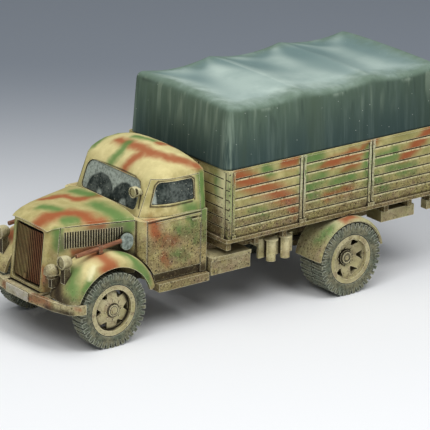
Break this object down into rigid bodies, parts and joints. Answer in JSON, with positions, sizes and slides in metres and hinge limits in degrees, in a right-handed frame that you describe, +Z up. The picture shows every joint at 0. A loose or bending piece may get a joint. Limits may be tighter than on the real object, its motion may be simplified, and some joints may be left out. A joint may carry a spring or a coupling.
{
  "type": "scale model of a military cargo truck",
  "caption": "Painted scale model of a bonneted military cargo truck: closed cab, planked load bed under a canvas cover, wheels that roll.",
  "frame": {"origin": "on the ground under the middle of the model's length and width", "axes": "+X toward the radiator, +Y to the truck's left, +Z up"},
  "size_m": [0.108, 0.0428, 0.0511],
  "materials": {
    "sand_paint": "matt dark-yellow paint with sprayed brown and green patches and mud",
    "chassis_paint": "matt dark-yellow paint under heavy dust",
    "dark_metal": "matt dark paint",
    "dark_glass": "painted dark panes, dusty outside the wiped arcs",
    "interior": "matt dark paint",
    "bed_timber": "matt dark-yellow paint over moulded boards",
    "tool": "red-brown painted handles with steel-grey heads",
    "plate": "blank off-white paint",
    "canvas": "matt grey-green paint on moulded canvas folds",
    "tyre": "matt dark grey under pale dust",
    "wheel_paint": "matt dark-yellow paint, dusty"
  },
  "bodies": {
    "chassis": {"chassis_frame": "chassis_paint", "power_unit": "dark_metal", "drive_shaft": "dark_metal", "exhaust": "dark_metal", "front_axle": "chassis_paint", "rear_axle": "chassis_paint", "leaf_springs": "dark_metal", "cab_shell": "sand_paint", "cab_floor": "chassis_paint", "door_left": "sand_paint", "door_right": "sand_paint", "glazing": "dark_glass", "seat": "interior", "dashboard": "interior", "steering_wheel": "interior", "bonnet": "sand_paint", "bonnet_sides": "sand_paint", "radiator_surround": "sand_paint", "grille": "sand_paint", "fender_left": "sand_paint", "fender_right": "sand_paint", "running_boards": "chassis_paint", "front_bumper": "sand_paint", "number_plate": "plate", "headlamps": "sand_paint", "blackout_lamp": "sand_paint", "pillar_lamp": "sand_paint", "shovel": "tool", "pick": "tool", "bed_bearers": "bed_timber", "cross_bearers": "bed_timber", "bed_floor": "bed_timber", "side_board_left": "sand_paint", "side_board_right": "sand_paint", "headboard": "sand_paint", "tailboard": "sand_paint", "canvas": "canvas", "toolboxes": "sand_paint", "canisters": "sand_paint", "rear_boxes": "sand_paint", "rear_mudguards": "sand_paint"},
    "front_left_wheel": {"tyre_front_left": "tyre", "wheel_front_left": "wheel_paint"},
    "front_right_wheel": {"tyre_front_right": "tyre", "wheel_front_right": "wheel_paint"},
    "rear_left_wheels": {"tyres_rear_left": "tyre", "wheels_rear_left": "wheel_paint"},
    "rear_right_wheels": {"tyres_rear_right": "tyre", "wheels_rear_right": "wheel_paint"}
  },
  "joints": [
    {"name": "front_left_wheel_roll", "type": "hinge", "parent": "chassis", "child": "front_left_wheel", "pos_m": [0.0395, 0.0149, 0.0087], "axis": [0, 1, 0], "continuous": true},
    {"name": "front_right_wheel_roll", "type": "hinge", "parent": "chassis", "child": "front_right_wheel", "pos_m": [0.0395, -0.0149, 0.0087], "axis": [0, 1, 0], "continuous": true},
    {"name": "rear_left_wheel_roll", "type": "hinge", "parent": "chassis", "child": "rear_left_wheels", "pos_m": [-0.0247, 0.0172, 0.0087], "axis": [0, 1, 0], "continuous": true},
    {"name": "rear_right_wheel_roll", "type": "hinge", "parent": "chassis", "child": "rear_right_wheels", "pos_m": [-0.0247, -0.0172, 0.0087], "axis": [0, 1, 0], "continuous": true}
  ]
}
